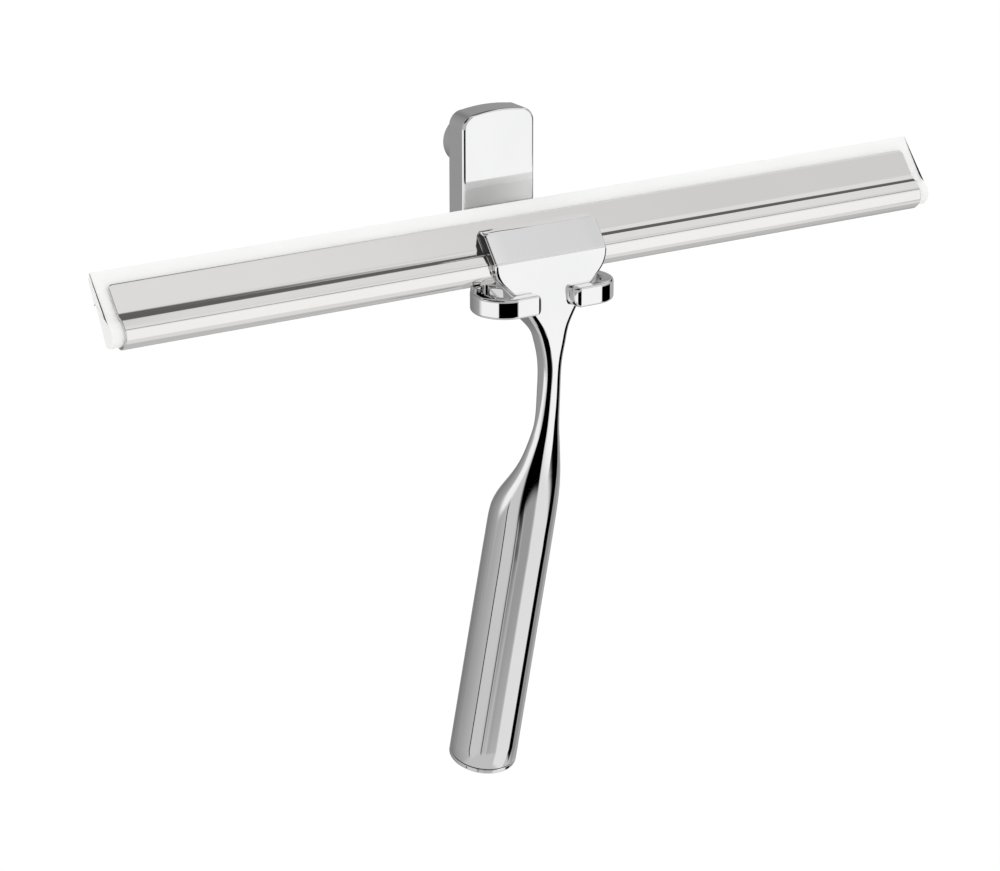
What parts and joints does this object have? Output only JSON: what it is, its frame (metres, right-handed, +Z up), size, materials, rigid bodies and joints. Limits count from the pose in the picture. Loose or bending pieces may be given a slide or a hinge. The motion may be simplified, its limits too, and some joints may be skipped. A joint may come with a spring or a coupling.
{
  "type": "shower squeegee with wall holder",
  "caption": "Chrome shower squeegee with a long lipped blade in a folded rail, hanging by its flared handle in an open ring holder that fixes to the wall.",
  "frame": {"origin": "middle of the mounting disc's back face, on the wall", "axes": "+X along the blade, +Y into the wall, +Z up"},
  "size_m": [0.35, 0.0671, 0.264],
  "materials": {
    "chrome": "mirror chrome plate",
    "steel": "polished folded sheet",
    "zinc": "raw zinc casting",
    "screw_steel": "bright zinc plate",
    "silicone": "translucent moulded silicone"
  },
  "bodies": {
    "holder": {"holder_body": "chrome", "standoff": "chrome", "mount_disc": "zinc", "boss_screw_l": "screw_steel", "boss_screw_r": "screw_steel", "grub_screw": "screw_steel"},
    "squeegee": {"handle": "chrome", "end_cap": "chrome", "rail": "steel", "back_jaw": "chrome", "jaw_screw_l": "screw_steel", "jaw_screw_r": "screw_steel"},
    "blade_strip": {"blade": "silicone"}
  },
  "joints": [
    {"name": "lift", "type": "slide", "parent": "holder", "child": "squeegee", "axis": [0, 0, 1], "range_m": [0, 0.04]},
    {"name": "blade_draw", "type": "slide", "parent": "squeegee", "child": "blade_strip", "axis": [1, 0, 0], "range_m": [0, 0.3]}
  ]
}
